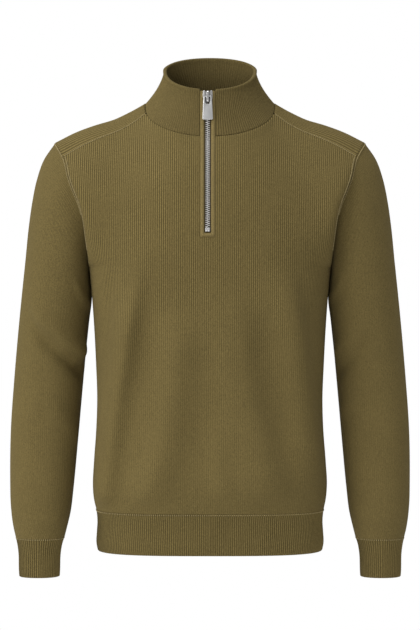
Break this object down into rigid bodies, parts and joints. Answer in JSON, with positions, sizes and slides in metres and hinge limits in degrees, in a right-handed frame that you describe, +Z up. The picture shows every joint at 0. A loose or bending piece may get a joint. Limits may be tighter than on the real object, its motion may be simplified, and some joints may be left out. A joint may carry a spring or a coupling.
{
  "type": "quarter zip sweater",
  "caption": "Olive ribbed-knit pullover with a stand collar, a short metal zip, long set-in sleeves and ribbed cuffs and hem, worn and hollow.",
  "frame": {"origin": "level with the top of the shoulders at the side of the neck, on the centre line, where the wearer carries the sweater", "axes": "+Z up, -Y out of the chest, +X towards the right of someone who faces the front; left and right in the node names are that person's"},
  "size_m": [0.6212, 0.2315, 0.8055],
  "materials": {
    "body_knit": "matte fine-ribbed cotton knit",
    "sleeve_knit": "matte fine-ribbed cotton knit",
    "rib_knit": "matte ribbed cotton knit",
    "collar_knit": "matte ribbed cotton knit in two layers",
    "trim_knit": "matte narrow knit trim",
    "zip_tape": "woven tape",
    "zip_metal": "plated zip metal",
    "tab_metal": "polished plated zinc"
  },
  "bodies": {
    "garment": {"front": "body_knit", "back": "body_knit", "shoulder_strip_left": "body_knit", "shoulder_strip_right": "body_knit", "sleeve_left": "sleeve_knit", "sleeve_right": "sleeve_knit", "cuff_left": "rib_knit", "cuff_right": "rib_knit", "hem_band": "rib_knit", "collar": "collar_knit", "zip_trim": "trim_knit", "zip_tape_left": "zip_tape", "zip_tape_right": "zip_tape", "zip_chain": "zip_metal", "zip_stop": "zip_metal", "zip_slider": "zip_metal"},
    "pull_tab": {"pull_tab": "tab_metal"}
  },
  "joints": [
    {"name": "pull_tab_swing", "type": "hinge", "parent": "garment", "child": "pull_tab", "pos_m": [-0.0035, -0.06797, 0.00457], "axis": [-1, 0, 0], "range_deg": [0, 150]}
  ]
}
